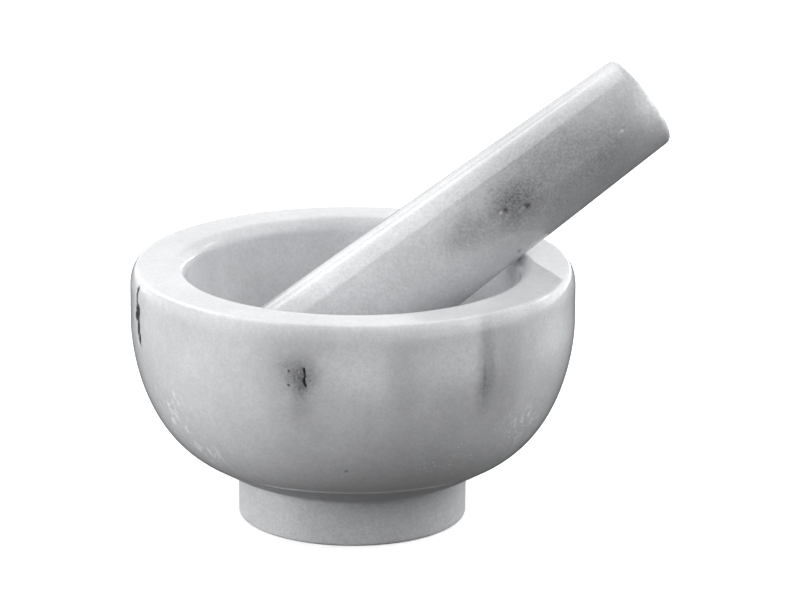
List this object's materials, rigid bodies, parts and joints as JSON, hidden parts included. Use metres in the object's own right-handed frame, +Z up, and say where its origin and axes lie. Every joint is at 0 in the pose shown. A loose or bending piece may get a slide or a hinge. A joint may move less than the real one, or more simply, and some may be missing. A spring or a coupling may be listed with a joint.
{
  "type": "mortar and pestle",
  "caption": "Low round marble bowl on a short plain foot, with a loose tapered marble pestle leaning in it, for crushing and grinding.",
  "frame": {"origin": "middle of the underside of the mortar's foot, on the bowl's axis", "axes": "+Z up along the bowl's axis; +X towards the side that the pestle leans over; the front is at -Y"},
  "size_m": [0.124, 0.102, 0.1021],
  "materials": {
    "bowl_marble": "polished",
    "pestle_marble": "polished"
  },
  "bodies": {
    "mortar": {"mortar": "bowl_marble"},
    "pestle": {"pestle": "pestle_marble"}
  },
  "joints": [
    {"name": "pestle_lift", "type": "slide", "parent": "mortar", "child": "pestle", "axis": [0, 0, 1], "range_m": [0, 0.05]}
  ]
}
